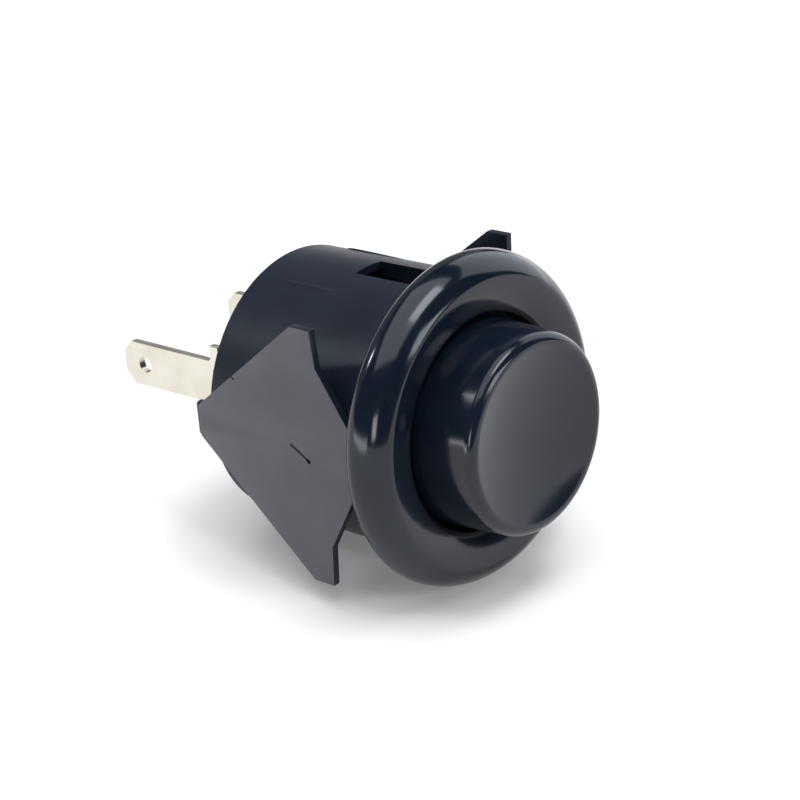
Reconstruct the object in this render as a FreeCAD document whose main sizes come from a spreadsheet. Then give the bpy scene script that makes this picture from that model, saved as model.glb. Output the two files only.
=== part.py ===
"""A snap-in arcade push button for a 30 mm panel hole, with its two-blade switch.

The button's axis is Y. The plunger faces -Y, and the panel's front face is the plane Y = 0, so every
depth behind the panel is a positive Y and every height in front of it a negative one. The two snap
wings stand at -X and +X, and the two slots that guide the plunger's keys at +Z and -Z. Millimetres.
"""

import FreeCAD, Part
import math
import os

import Sketcher

doc = FreeCAD.newDocument("arcade_push_button")

# Driving sizes: name, value in millimetres or degrees, meaning

SIZES = (
    ("rim_radius", 16.9, "widest radius of the rim"),
    ("rim_height", 4.75, "rim's crest above the panel"),
    ("rim_shoulder", 2.4, "widest line in to the crest, along the radius"),
    ("rim_crest_round", 1.4, "arc beside the crest"),
    ("rim_edge_round", 1.5, "round of the rim's lower edge"),
    ("lip_gap", 0.9, "gap between the rim's mouth and the plunger"),
    ("lip_drop", 0.8, "crest down to the edge of the mouth"),
    ("lip_base", 0.8, "underside of the mouth's lip above the panel"),
    ("barrel_radius", 14.1, "barrel at the panel"),
    ("barrel_taper", 0.45, "how much smaller the radius is at the rear"),
    ("barrel_depth", 20.4, "panel to the barrel's rear end"),
    ("barrel_wall", 1.35, "wall at the rear end"),
    ("barrel_edge_round", 0.35, "round of the rear edge"),
    ("slot_width", 3.8, "guide slots in the barrel"),
    ("slot_front", 0.9, "panel to the slots' front end"),
    ("slot_rear", 9.8, "panel to the slots' rear end"),
    ("rib_height", 0.03, "thin ribs along the barrel, above its front radius"),
    ("rib_width", 0.7, "width of a rib"),
    ("rib_angle", 21.0, "rib to the middle of a slot, degrees"),
    ("rib_front", 8.4, "panel to the ribs' front end"),
    ("rib_rear", 17.0, "panel to the ribs' rear end"),
    ("snap_height", 0.3, "bead that holds the base, above the bore"),
    ("snap_width", 0.8, "width of the bead"),
    ("snap_inset", 0.7, "rear end to the bead"),
    ("snap_clearance", 0.05, "bead to its groove"),
    ("wing_thickness", 0.8, "plate of a wing"),
    ("wing_spread", 4.7, "each half of a wing leans out by this angle, degrees"),
    ("wing_proud", 0.1, "wing's middle line above the barrel"),
    ("wing_span", 13.4, "axis up to a wing's tip"),
    ("wing_neck", 1.65, "half the width of the wing's rear end"),
    ("wing_rear", 21.7, "panel to the end of the plate"),
    ("wing_tip_rear", 6.55, "panel to the tips' rear corner"),
    ("wing_tip_front", 4.0, "panel to the tips' front edge"),
    ("wing_notch", 9.4, "half span where the front edge turns to the panel"),
    ("wing_root", 2.6, "half span where it ends at the panel"),
    ("wing_root_gap", 0.3, "panel to the wing's front end"),
    ("heel_depth", 22.6, "panel to the end of the heel behind a wing"),
    ("heel_round", 1.0, "round of the heel"),
    ("plunger_radius", 10.15, "part of the plunger that shows"),
    ("plunger_top", 10.6, "plunger's edge above the panel"),
    ("plunger_draft", 0.45, "how much wider the plunger is at its shoulder"),
    ("plunger_edge_round", 1.0, "round of the plunger's edge"),
    ("dish_depth", 1.2, "hollow of the plunger's face"),
    ("face_thickness", 1.8, "wall under the middle of the dish"),
    ("plunger_wall", 1.5, "side wall of the plunger"),
    ("skirt_clearance", 0.2, "skirt to the barrel's bore"),
    ("skirt_wall", 1.4, "wall of the skirt"),
    ("shoulder_web", 1.4, "web between the plunger's side and its skirt"),
    ("rest_gap", 0.05, "shoulder to the lip with the button at rest"),
    ("travel", 3.5, "how far the plunger goes in"),
    ("stop_gap", 0.2, "skirt to the base with the button pressed"),
    ("key_clearance", 0.2, "keys to the sides and the floor of their ways"),
    ("key_height", 0.75, "keys above the skirt"),
    ("key_length", 3.0, "length of the plunger's keys"),
    ("boss_radius", 3.4, "stem's thick part"),
    ("boss_depth", 6.0, "panel to the end of the thick part"),
    ("stem_radius", 1.6, "stem's thin part"),
    ("stem_tail", 2.5, "stem behind its washer"),
    ("stem_clearance", 0.15, "stem to the bridge's hole"),
    ("contact_spring_length", 3.7, "contact spring between stem and bridge"),
    ("contact_spring_radius", 2.4, "middle of the contact spring's wire"),
    ("contact_wire", 0.5, "contact spring's wire"),
    ("contact_turns", 4.0, "turns of the contact spring"),
    ("bridge_thickness", 0.8, "contact bridge"),
    ("bridge_reach", 7.9, "half length of the bridge"),
    ("bridge_width", 4.4, "width of the bridge"),
    ("bridge_corner", 1.6, "round of the bridge's corners"),
    ("contact_place", 6.3, "axis to the middle of a contact"),
    ("contact_radius", 1.3, "head of a contact rivet"),
    ("contact_height", 0.8, "height of a head"),
    ("contact_dome", 0.2, "crown of a head"),
    ("rivet_radius", 0.6, "shank of a contact rivet"),
    ("contact_gap", 2.7, "open gap between the contacts"),
    ("contact_touch", 0.02, "contacts' clearance when closed"),
    ("washer_radius", 3.9, "star washer on the stem"),
    ("washer_thickness", 0.6, "star washer"),
    ("washer_slit", 0.5, "slits of the star washer"),
    ("washer_tooth", 0.8, "length of its teeth"),
    ("return_spring_radius", 3.0, "middle of the return spring's wire"),
    ("return_wire", 0.6, "return spring's wire"),
    ("return_turns", 8.0, "turns of the return spring"),
    ("base_clearance", 0.1, "base to the bore"),
    ("flange_thickness", 2.0, "disc that closes the barrel"),
    ("deck_length", 9.2, "half length of the block under the contacts"),
    ("deck_width", 3.9, "half width of the block"),
    ("deck_round", 1.2, "corners of the block"),
    ("block_depth", 3.6, "block behind the barrel's rear end"),
    ("well_radius", 4.2, "well of the return spring"),
    ("well_wall", 1.2, "wall round the well"),
    ("well_floor", 1.6, "wall under the spring"),
    ("terminal_thickness", 0.8, "sheet of the terminals"),
    ("terminal_bend", 0.4, "inside of the terminal's bend"),
    ("terminal_place", 7.74, "axis to the middle of a blade's sheet"),
    ("strip_width", 4.0, "terminal inside the base"),
    ("foot_reach", 4.8, "axis to the inner end of a terminal's foot"),
    ("seat_width", 8.0, "terminal's shoulders behind the block"),
    ("seat_depth", 1.2, "height of the shoulders"),
    ("blade_width", 4.75, "push-on blade"),
    ("blade_length", 12.5, "shoulders to the blade's end"),
    ("blade_offset", 1.3, "blade above the axis"),
    ("blade_corner", 1.2, "cut corners of the blade"),
    ("blade_hole", 0.85, "radius of the hole in the blade"),
    ("blade_hole_inset", 2.9, "blade's end to the hole"),
)

sheet = doc.addObject("Spreadsheet::Sheet", "Sizes")
for row, (name, number, meaning) in enumerate(SIZES, start=1):
    sheet.set(f"A{row}", name)
    sheet.set(f"B{row}", str(number))
    sheet.set(f"C{row}", meaning)
    sheet.setAlias(f"B{row}", name)
doc.recompute()


class Size:
    """A size worked out from the sheet: its number now, and the expression that keeps it up to date."""

    def __init__(self, text, number):
        self.text = text
        self.number = number

    def joined(self, sign, other, number):
        return Size(f"({self.text} {sign} {other.text})", number)

    def __add__(self, other):
        return self.joined("+", other, self.number + other.number)

    def __sub__(self, other):
        return self.joined("-", other, self.number - other.number)

    def __mul__(self, other):
        return self.joined("*", other, self.number * other.number)

    def __truediv__(self, other):
        return self.joined("/", other, self.number / other.number)

    def __neg__(self):
        return Size(f"(-1 * {self.text})", -self.number)


def size(name):
    return Size(f"Sizes.{name}", float(sheet.get(name)))


def pure(number):
    """A plain count or ratio that no cell holds."""
    return Size(f"({number})", float(number))


ZERO = pure(0)
TWO = pure(2)
HALF_TURN = pure(180)


def tangent(angle):
    return Size(f"tan({angle.text} * 1 deg)", math.tan(math.radians(angle.number)))


def cosine(angle):
    return Size(f"cos({angle.text} * 1 deg)", math.cos(math.radians(angle.number)))


def sine(angle):
    return Size(f"sin({angle.text} * 1 deg)", math.sin(math.radians(angle.number)))


def bind(thing, place, value):
    thing.setExpression(place, value.text)


# Sketches


def flat(x, y):
    return FreeCAD.Vector(x.number, y.number, 0)


def pin(sketch, edge, end, x, y):
    """Hold one end of an edge at x, y."""
    for kind, value, axis in (("DistanceX", x, -2), ("DistanceY", y, -1)):
        if value is ZERO:
            sketch.addConstraint(Sketcher.Constraint("PointOnObject", edge, end, axis))
            continue
        index = sketch.addConstraint(Sketcher.Constraint(kind, -1, 1, edge, end, value.number))
        bind(sketch, f"Constraints[{index}]", value)


def arc_between(start, finish, radius, left):
    """Arc from start to finish, with its centre on the left or right of the way."""
    way = finish - start
    half = way.Length / 2
    rise = math.sqrt(max(radius * radius - half * half, 0.0))
    side = FreeCAD.Vector(-way.y, way.x, 0)
    side.normalize()
    centre = start + way * 0.5 + side * (rise if left else -rise)
    first, last = (start, finish) if left else (finish, start)
    angles = [math.atan2(p.y - centre.y, p.x - centre.x) for p in (first, last)]
    circle = Part.Circle(centre, FreeCAD.Vector(0, 0, 1), radius)
    return Part.ArcOfCircle(circle, angles[0], angles[1])


def outline(sketch, steps):
    """Closed outline. A step is a corner (x, y), or (x, y, radius, left) for an arc that ends there."""
    corners = [flat(step[0], step[1]) for step in steps]
    edges = []
    for i, step in enumerate(steps):
        start, finish = corners[i - 1], corners[i]
        if len(step) == 2:
            edge = sketch.addGeometry(Part.LineSegment(start, finish))
            edges.append((edge, 1, 2))
            continue
        radius, left = step[2], step[3]
        edge = sketch.addGeometry(arc_between(start, finish, radius.number, left))
        edges.append((edge, 1, 2) if left else (edge, 2, 1))
        index = sketch.addConstraint(Sketcher.Constraint("Radius", edge, radius.number))
        bind(sketch, f"Constraints[{index}]", radius)
    for i, step in enumerate(steps):
        edge, _, end = edges[i]
        after, begin, _ = edges[(i + 1) % len(edges)]
        sketch.addConstraint(Sketcher.Constraint("Coincident", edge, end, after, begin))
        pin(sketch, edge, end, step[0], step[1])


def rectangle(sketch, left, right, low, high):
    outline(sketch, [(left, low), (right, low), (right, high), (left, high)])


def rounded_block(sketch, length, width, corner):
    outline(sketch, [
        (length - corner, -width),
        (length, corner - width, corner, True),
        (length, width - corner),
        (length - corner, width, corner, True),
        (corner - length, width),
        (-length, width - corner, corner, True),
        (-length, corner - width),
        (corner - length, -width, corner, True),
    ])


def round_hole(sketch, x, y, radius):
    edge = sketch.addGeometry(Part.Circle(flat(x, y), FreeCAD.Vector(0, 0, 1), radius.number))
    index = sketch.addConstraint(Sketcher.Constraint("Radius", edge, radius.number))
    bind(sketch, f"Constraints[{index}]", radius)
    pin(sketch, edge, 3, x, y)


# Features of a body. The XY plane holds X and Y, the XZ plane X and Z, the YZ plane Y and Z.


def new_body(name):
    body = doc.addObject("PartDesign::Body", name)
    body.Label = name
    return body


def sketch_on(body, name, plane, lift=None):
    """Sketch on one of the body's own planes, lifted along that plane's normal."""
    sketch = body.newObject("Sketcher::SketchObject", name)
    for feature in body.Origin.OriginFeatures:
        if feature.Role == plane:
            sketch.AttachmentSupport = [(feature, "")]
    sketch.MapMode = "FlatFace"
    if lift is not None:
        bind(sketch, "AttachmentOffset.Base.z", lift)
    return sketch


def turned(body, sketch):
    """Revolve a half section about Y."""
    feature = body.newObject("PartDesign::Revolution", sketch.Name + "_turned")
    feature.Profile = sketch
    feature.ReferenceAxis = (sketch, ["V_Axis"])
    feature.Angle = 360
    doc.recompute()
    return feature


def raised(body, sketch, length, both_ways=False, backwards=False):
    feature = body.newObject("PartDesign::Pad", sketch.Name + "_raised")
    feature.Profile = sketch
    feature.Midplane = both_ways
    feature.Reversed = backwards
    bind(feature, "Length", length)
    doc.recompute()
    return feature


def cut_away(body, sketch, length=None, both_ways=False, backwards=False):
    """Pocket of a length, or right through where none is given. It has to take something away."""
    before = body.Shape.Volume
    feature = body.newObject("PartDesign::Pocket", sketch.Name + "_cut")
    feature.Profile = sketch
    feature.Midplane = both_ways
    feature.Reversed = backwards
    if length is None:
        feature.Type = "ThroughAll"
    else:
        bind(feature, "Length", length)
    doc.recompute()
    if body.Shape.Volume >= before:
        raise RuntimeError(sketch.Name + " cut nothing")
    return feature


def around_axis(body, name, features, count):
    """Repeat features round Y."""
    pattern = body.newObject("PartDesign::PolarPattern", name)
    pattern.Originals = features
    for feature in body.Origin.OriginFeatures:
        if feature.Role == "Y_Axis":
            pattern.Axis = (feature, [""])
    pattern.Angle = 360
    pattern.Occurrences = count
    body.Tip = pattern
    doc.recompute()
    return pattern


# Places that more than one piece uses

rim_radius = size("rim_radius")
rim_crest = rim_radius - size("rim_shoulder")
lip_radius = size("plunger_radius") + size("lip_gap")
barrel_radius = size("barrel_radius")
barrel_rear_radius = barrel_radius - size("barrel_taper")
barrel_depth = size("barrel_depth")
bore_radius = barrel_rear_radius - size("barrel_wall")
skirt_radius = bore_radius - size("skirt_clearance")
skirt_inside = skirt_radius - size("skirt_wall")
skirt_rear = barrel_depth - size("flange_thickness") - size("travel") - size("stop_gap")
key_radius = skirt_radius + size("key_height")
key_half = size("slot_width") / TWO - size("key_clearance")
bead_rear = barrel_depth - size("snap_inset")
bead_front = bead_rear - size("snap_width")
bead_radius = bore_radius + size("snap_height")

bridge_front = size("boss_depth") + size("contact_spring_length")
bridge_rear = bridge_front + size("bridge_thickness")
washer_rear = bridge_rear + size("washer_thickness")
stem_end = washer_rear + size("stem_tail")
bridge_contact_face = bridge_rear + size("contact_height")
fixed_contact_face = bridge_contact_face + size("contact_gap") + size("contact_touch")
foot_front = fixed_contact_face + size("contact_height")
deck_front = foot_front + size("terminal_thickness")
block_rear = barrel_depth + size("block_depth")
well_bottom = block_rear - size("well_floor")
terminal_half = size("terminal_thickness") / TWO


# Housing: rim, barrel and the two snap wings, moulded as one


def barrel_at(depth):
    """Outer radius of the tapering barrel at a depth."""
    return barrel_radius - size("barrel_taper") * depth / barrel_depth


def make_barrel():
    """Rim and barrel turned from one half section, with the guide slots and the ways that lead to them."""
    body = new_body("barrel")
    sketch = sketch_on(body, "barrel_section", "XY_Plane")
    edge_round = size("rim_edge_round")
    crest_round = size("rim_crest_round")
    # The side of the rim is an arc that leaves the widest line straight and meets the crest's arc
    # without a corner: its radius follows from the two arcs' centres.
    width = size("rim_shoulder")
    rise = size("rim_height") - edge_round
    side_round = (width * width + rise * rise - TWO * rise * crest_round) / (TWO * (width - crest_round))
    share = side_round / (side_round - crest_round)
    side_x, side_y = rim_radius - side_round, -edge_round
    crest_x, crest_y = rim_crest, crest_round - size("rim_height")
    meet_x = side_x + (crest_x - side_x) * share
    meet_y = side_y + (crest_y - side_y) * share
    # The inner slope starts level at the crest and ends at the edge of the mouth.
    slope = rim_crest - lip_radius
    drop = size("lip_drop")
    slope_round = (slope * slope + drop * drop) / (TWO * drop)
    rear_round = size("barrel_edge_round")
    groove_radius = bead_radius + size("snap_clearance")
    groove_front = bead_front - size("snap_clearance")
    groove_rear = bead_rear + size("snap_clearance")
    outline(sketch, [
        (barrel_radius, ZERO),
        (rim_radius - edge_round, ZERO),
        (rim_radius, -edge_round, edge_round, False),
        (meet_x, meet_y, side_round, False),
        (rim_crest, -size("rim_height"), crest_round, False),
        (lip_radius, drop - size("rim_height"), slope_round, False),
        (lip_radius, -size("lip_base")),
        (bore_radius, -size("lip_base")),
        (bore_radius, groove_front),
        (groove_radius, groove_front),
        (groove_radius, groove_rear),
        (bore_radius, groove_rear),
        (bore_radius, barrel_depth),
        (barrel_rear_radius - rear_round, barrel_depth),
        (barrel_at(barrel_depth - rear_round), barrel_depth - rear_round, rear_round, False),
    ])
    turned(body, sketch)
    slot = sketch_on(body, "guide_slots", "XY_Plane")
    half = size("slot_width") / TWO
    rectangle(slot, -half, half, size("slot_front"), size("slot_rear"))
    cut_away(body, slot, length=rim_radius * TWO, both_ways=True)
    ways = sketch_on(body, "keyways", "XZ_Plane", -size("slot_front"))
    way_radius = key_radius + size("key_clearance")
    rectangle(ways, -half, half, -way_radius, way_radius)
    cut_away(body, ways, length=barrel_depth - size("slot_front"))
    return body


def free_sketch(name, turn):
    """Sketch of the document itself, turned from the XY plane."""
    sketch = doc.addObject("Sketcher::SketchObject", name)
    sketch.Placement = FreeCAD.Placement(FreeCAD.Vector(), turn)
    return sketch


FLAT = FreeCAD.Rotation()
FACING_Y = FreeCAD.Rotation(FreeCAD.Vector(1, 0, 0), 90)
FACING_X = FreeCAD.Rotation(FreeCAD.Vector(1, 1, 1), 120)


def extruded(name, sketch, direction, length, both_ways=False):
    """Straight or slanting extrusion of a sketch; direction is three sizes."""
    solid = doc.addObject("Part::Extrusion", name)
    solid.Base = sketch
    solid.DirMode = "Custom"
    solid.Dir = FreeCAD.Vector(*[part.number for part in direction])
    for axis, part in zip("xyz", direction):
        bind(solid, f"Dir.{axis}", part)
    bind(solid, "LengthFwd", length)
    solid.Symmetric = both_ways
    solid.Solid = True
    return solid


def make_wing():
    """Snap wing at +X: a thin plate, creased along its middle, that leaves the barrel at a tangent.

    It is what its outline, seen from the side, and its shallow V section, seen along the axis,
    have in common, with a rounded heel behind that ties it to the barrel's rear end.
    """
    one = pure(1)
    span = size("wing_span")
    neck = size("wing_neck")
    plan = free_sketch("wing_outline", FACING_X)
    outline(plan, [
        (size("wing_rear"), neck),
        (size("wing_tip_rear"), span),
        (size("wing_tip_front"), span),
        (size("wing_tip_front"), size("wing_notch")),
        (size("wing_root_gap"), size("wing_root")),
        (size("wing_root_gap"), -size("wing_root")),
        (size("wing_tip_front"), -size("wing_notch")),
        (size("wing_tip_front"), -span),
        (size("wing_tip_rear"), -span),
        (size("wing_rear"), -neck),
    ])
    prism = extruded("wing_prism", plan, (one, ZERO, ZERO), rim_radius * TWO)

    section = free_sketch("wing_section", FACING_Y)
    crease = barrel_at(size("heel_depth")) + size("wing_proud")
    reach = span + size("wing_thickness")
    lean = reach * tangent(size("wing_spread"))
    through = size("wing_thickness") / cosine(size("wing_spread"))
    bind(section, "Placement.Base.y", size("heel_depth"))
    outline(section, [
        (crease, ZERO),
        (crease + lean, reach),
        (crease + lean - through, reach),
        (crease - through, ZERO),
        (crease + lean - through, -reach),
        (crease + lean, -reach),
    ])
    grow = size("barrel_taper") / barrel_depth
    sheet_solid = extruded("wing_sheet", section, (grow, -one, ZERO), size("heel_depth") * TWO)
    plate = doc.addObject("Part::Common", "wing_plate")
    plate.Base = prism
    plate.Tool = sheet_solid

    heel_sketch = free_sketch("wing_heel_section", FLAT)
    heel_round = size("heel_round")
    inside = bore_radius + size("base_clearance")
    heel_root = barrel_depth - size("barrel_edge_round") * TWO
    heel_x = barrel_at(size("wing_rear")) + size("wing_proud")
    outline(heel_sketch, [
        (inside, heel_root),
        (barrel_at(heel_root), heel_root),
        (heel_x, size("heel_depth") - heel_round),
        (heel_x - heel_round, size("heel_depth"), heel_round, True),
        (inside, size("heel_depth")),
    ])
    heel = extruded("wing_heel", heel_sketch, (ZERO, ZERO, one), neck * TWO, both_ways=True)
    wing = doc.addObject("Part::MultiFuse", "wing")
    wing.Shapes = [plate, heel]
    return wing


def make_rib(number, side, flank):
    """Thin rib along the barrel beside a slot."""
    rib = doc.addObject("Part::Box", f"barrel_rib_{number}")
    bottom = barrel_rear_radius - size("barrel_wall") / TWO
    bind(rib, "Length", size("rib_width"))
    bind(rib, "Width", size("rib_rear") - size("rib_front"))
    bind(rib, "Height", barrel_at(size("rib_front")) + size("rib_height") - bottom)
    angle = size("rib_angle") if flank > 0 else -size("rib_angle")
    if side < 0:
        angle = angle + HALF_TURN
    half = size("rib_width") / TWO
    bind(rib, "Placement.Base.x", bottom * sine(angle) - half * cosine(angle))
    bind(rib, "Placement.Base.y", size("rib_front"))
    bind(rib, "Placement.Base.z", bottom * cosine(angle) + half * sine(angle))
    rib.Placement.Rotation = FreeCAD.Rotation(FreeCAD.Vector(0, 1, 0), angle.number)
    bind(rib, "Placement.Rotation.Angle", angle)
    return rib


def make_housing():
    barrel = make_barrel()
    wing = make_wing()
    mirrored = doc.addObject("Part::Mirroring", "wing_opposite")
    mirrored.Source = wing
    mirrored.Normal = FreeCAD.Vector(1, 0, 0)
    ribs = [
        make_rib(number, side, flank)
        for number, (side, flank) in enumerate([(1, 1), (1, -1), (-1, 1), (-1, -1)], start=1)
    ]
    housing = doc.addObject("Part::MultiFuse", "housing")
    housing.Shapes = [barrel, wing, mirrored] + ribs
    housing.Refine = True
    return housing


# Plunger: dished cap, skirt with two guide keys, and the stem that carries the contact bridge


def make_plunger():
    body = new_body("plunger")
    sketch = sketch_on(body, "plunger_section", "XY_Plane")
    radius = size("plunger_radius")
    edge_round = size("plunger_edge_round")
    dish_floor = size("plunger_top") - size("dish_depth")
    # The dish is part of a sphere that runs into the rounded edge without a corner.
    edge_x = radius - edge_round
    edge_y = edge_round - size("plunger_top")
    depth = size("dish_depth")
    reach = (edge_x * edge_x + depth * depth) / (TWO * depth)
    dish_round = reach - edge_round
    ball_y = -dish_floor - dish_round
    share = edge_round / reach
    meet_x = edge_x - edge_x * share
    meet_y = edge_y + (ball_y - edge_y) * share
    shoulder = size("rest_gap") - size("lip_base")
    web_rear = shoulder + size("shoulder_web")
    cup = radius - size("plunger_wall")
    ceiling = size("face_thickness") - dish_floor
    outline(sketch, [
        (ZERO, -dish_floor),
        (meet_x, meet_y, dish_round, False),
        (radius, edge_y, edge_round, True),
        (radius + size("plunger_draft"), shoulder),
        (skirt_radius, shoulder),
        (skirt_radius, skirt_rear),
        (skirt_inside, skirt_rear),
        (skirt_inside, web_rear),
        (cup, web_rear),
        (cup, ceiling),
        (size("boss_radius"), ceiling),
        (size("boss_radius"), size("boss_depth")),
        (size("stem_radius"), size("boss_depth")),
        (size("stem_radius"), stem_end),
        (ZERO, stem_end),
    ])
    turned(body, sketch)

    key = sketch_on(body, "guide_key", "YZ_Plane")
    key_front = size("slot_front") + size("rest_gap")
    middle = (skirt_inside + skirt_radius) / TWO
    rectangle(key, key_front, key_front + size("key_length"), middle, key_radius)
    first = raised(body, key, key_half * TWO, both_ways=True)
    around_axis(body, "guide_key_pair", [first], 2)
    return body


# Contact bridge, its rivets, and the washer that keeps it on the stem


def make_bridge():
    body = new_body("contact_bridge")
    sketch = sketch_on(body, "bridge_outline", "XZ_Plane", -bridge_front)
    rounded_block(sketch, size("bridge_reach"), size("bridge_width") / TWO, size("bridge_corner"))
    round_hole(sketch, ZERO, ZERO, size("stem_radius") + size("stem_clearance"))
    for place in (size("contact_place"), -size("contact_place")):
        round_hole(sketch, place, ZERO, size("rivet_radius"))
    raised(body, sketch, size("bridge_thickness"), backwards=True)
    return body


def make_washer():
    body = new_body("star_washer")
    sketch = sketch_on(body, "washer_outline", "XZ_Plane", -bridge_rear)
    round_hole(sketch, ZERO, ZERO, size("washer_radius"))
    round_hole(sketch, ZERO, ZERO, size("stem_radius"))
    raised(body, sketch, size("washer_thickness"), backwards=True)
    slit = sketch_on(body, "washer_slit_outline", "XZ_Plane", -bridge_rear)
    half = size("washer_slit") / TWO
    rectangle(slit, -half, half, ZERO, size("stem_radius") + size("washer_tooth"))
    first = cut_away(body, slit, length=size("washer_thickness"))
    around_axis(body, "washer_slits", [first], 4)
    return body


def make_rivets(name, head_back, shank_length, facing):
    """Two contact rivets. The head's back lies at head_back; facing is +1 where it faces the rear."""
    solids = []
    height = size("contact_height")
    for number, side in enumerate((1, -1), start=1):
        body = doc.addObject("PartDesign::Body", f"{name}_{number}")
        sketch = sketch_on(body, f"{name}_section_{number}", "XY_Plane")
        dome = size("contact_dome")
        head = size("contact_radius")
        crown = (head * head + dome * dome) / (TWO * dome)
        sign = pure(facing)
        outline(sketch, [
            (ZERO, head_back + sign * height),
            (head, head_back + sign * (height - dome), crown, facing < 0),
            (head, head_back),
            (size("rivet_radius"), head_back),
            (size("rivet_radius"), head_back - sign * shank_length),
            (ZERO, head_back - sign * shank_length),
        ])
        turned(body, sketch)
        place = size("contact_place") if side > 0 else -size("contact_place")
        bind(body, "Placement.Base.x", place)
        solids.append(body)
    group = doc.addObject("Part::Compound", name)
    group.Links = solids
    group.Label = name
    return group


# Base: flange that snaps into the barrel, deck for the contacts, block behind for the blades


def make_base():
    body = new_body("base")
    sketch = sketch_on(body, "flange_section", "XY_Plane")
    radius = bore_radius - size("base_clearance")
    middle = (bead_front + bead_rear) / TWO
    outline(sketch, [
        (ZERO, barrel_depth - size("flange_thickness")),
        (radius, barrel_depth - size("flange_thickness")),
        (radius, bead_front),
        (bead_radius, middle),
        (radius, bead_rear),
        (radius, barrel_depth),
        (size("well_radius") + size("well_wall"), barrel_depth),
        (size("well_radius") + size("well_wall"), block_rear),
        (ZERO, block_rear),
    ])
    turned(body, sketch)
    for name, start, finish in (
        ("deck_outline", deck_front, barrel_depth),
        ("block_outline", barrel_depth - size("flange_thickness"), block_rear),
    ):
        block = sketch_on(body, name, "XZ_Plane", -start)
        rounded_block(block, size("deck_length"), size("deck_width"), size("deck_round"))
        raised(body, block, finish - start, backwards=True)
    well = sketch_on(body, "spring_well", "XZ_Plane", -deck_front)
    round_hole(well, ZERO, ZERO, size("well_radius"))
    cut_away(body, well, length=well_bottom - deck_front)
    slots = sketch_on(body, "terminal_slots", "XZ_Plane", -deck_front)
    half = size("strip_width") / TWO
    for side in (pure(1), pure(-1)):
        inner = side * size("terminal_place") - terminal_half
        rectangle(slots, inner, inner + size("terminal_thickness"), -half, half)
    cut_away(body, slots, length=block_rear - deck_front)
    reliefs = sketch_on(body, "bend_reliefs", "XZ_Plane", -deck_front)
    bend = size("terminal_bend")
    inner = size("terminal_place") - terminal_half
    rectangle(reliefs, inner - bend, inner, -half, half)
    rectangle(reliefs, -inner, bend - inner, -half, half)
    cut_away(body, reliefs, length=bend)
    lug = sketch_on(body, "flange_key", "YZ_Plane")
    flange_front = barrel_depth - size("flange_thickness")
    rectangle(lug, flange_front, barrel_depth, size("well_radius"), key_radius)
    first = raised(body, lug, key_half * TWO, both_ways=True)
    around_axis(body, "flange_key_pair", [first], 2)
    return body


# Terminals: sheet bent over on the deck, with shoulders and a push-on blade behind the block


def make_terminal(name, side):
    body = new_body(name)
    sign = pure(side)
    place = size("terminal_place")
    thick = size("terminal_thickness")
    bend = size("terminal_bend")
    inner = place - terminal_half
    outer = place + terminal_half
    strip = sketch_on(body, name + "_bend", "XY_Plane")
    left = side > 0
    outline(strip, [
        (sign * size("foot_reach"), foot_front),
        (sign * (outer - bend - thick), foot_front),
        (sign * outer, foot_front + bend + thick, bend + thick, left),
        (sign * outer, block_rear + size("seat_depth")),
        (sign * inner, block_rear + size("seat_depth")),
        (sign * inner, deck_front + bend),
        (sign * (inner - bend), deck_front, bend, not left),
        (sign * size("foot_reach"), deck_front),
    ])
    raised(body, strip, size("strip_width"), both_ways=True)

    blank = sketch_on(body, name + "_blank", "YZ_Plane", sign * place)
    offset = size("blade_offset")
    seat = size("seat_width") / TWO
    half = size("blade_width") / TWO
    corner = size("blade_corner")
    blade_root = block_rear + size("seat_depth")
    blade_end = blade_root + size("blade_length")
    outline(blank, [
        (block_rear, offset - seat),
        (blade_root, offset - seat),
        (blade_root, offset - half),
        (blade_end - corner, offset - half),
        (blade_end, offset - half + corner),
        (blade_end, offset + half - corner),
        (blade_end - corner, offset + half),
        (blade_root, offset + half),
        (blade_root, offset + seat),
        (block_rear, offset + seat),
    ])
    round_hole(blank, blade_end - size("blade_hole_inset"), offset, size("blade_hole"))
    raised(body, blank, thick, both_ways=True)

    eye = sketch_on(body, name + "_eye", "XZ_Plane", -foot_front)
    round_hole(eye, sign * size("contact_place"), ZERO, size("rivet_radius"))
    cut_away(body, eye, length=thick)
    return body


# Springs: a wire wound on a helix, ground flat at both ends


def make_spring(name, front, rear, radius, wire, turns):
    """Coil spring round Y between the depths front and rear."""
    length = rear.number - front.number
    pitch = length / turns.number
    helix = Part.makeHelix(pitch, length, radius.number)
    climb = FreeCAD.Vector(0, math.tau * radius.number, pitch)
    wire_radius = wire.number / 2
    ring = Part.Wire(Part.makeCircle(wire_radius, FreeCAD.Vector(radius.number, 0, 0), climb))
    coil = Part.Wire(helix.Edges).makePipeShell([ring], True, True)
    spring = doc.addObject("Part::Feature", name)
    spring.Shape = coil.common(Part.makeCylinder(radius.number + wire.number, length))
    spring.Label = name
    to_the_rear = FreeCAD.Rotation(FreeCAD.Vector(1, 0, 0), -90)
    spring.Placement = FreeCAD.Placement(FreeCAD.Vector(0, front.number, 0), to_the_rear)
    return spring


pieces = [
    make_housing(),
    make_plunger(),
    make_bridge(),
    make_rivets("bridge_contacts", bridge_rear, size("bridge_thickness"), 1),
    make_washer(),
    make_base(),
    make_terminal("near_terminal", -1),
    make_terminal("far_terminal", 1),
    make_rivets("fixed_contacts", foot_front, size("terminal_thickness"), -1),
    make_spring(
        "contact_spring", size("boss_depth"), bridge_front,
        size("contact_spring_radius"), size("contact_wire"), size("contact_turns"),
    ),
    make_spring(
        "return_spring", washer_rear, well_bottom,
        size("return_spring_radius"), size("return_wire"), size("return_turns"),
    ),
]
doc.recompute()

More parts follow.
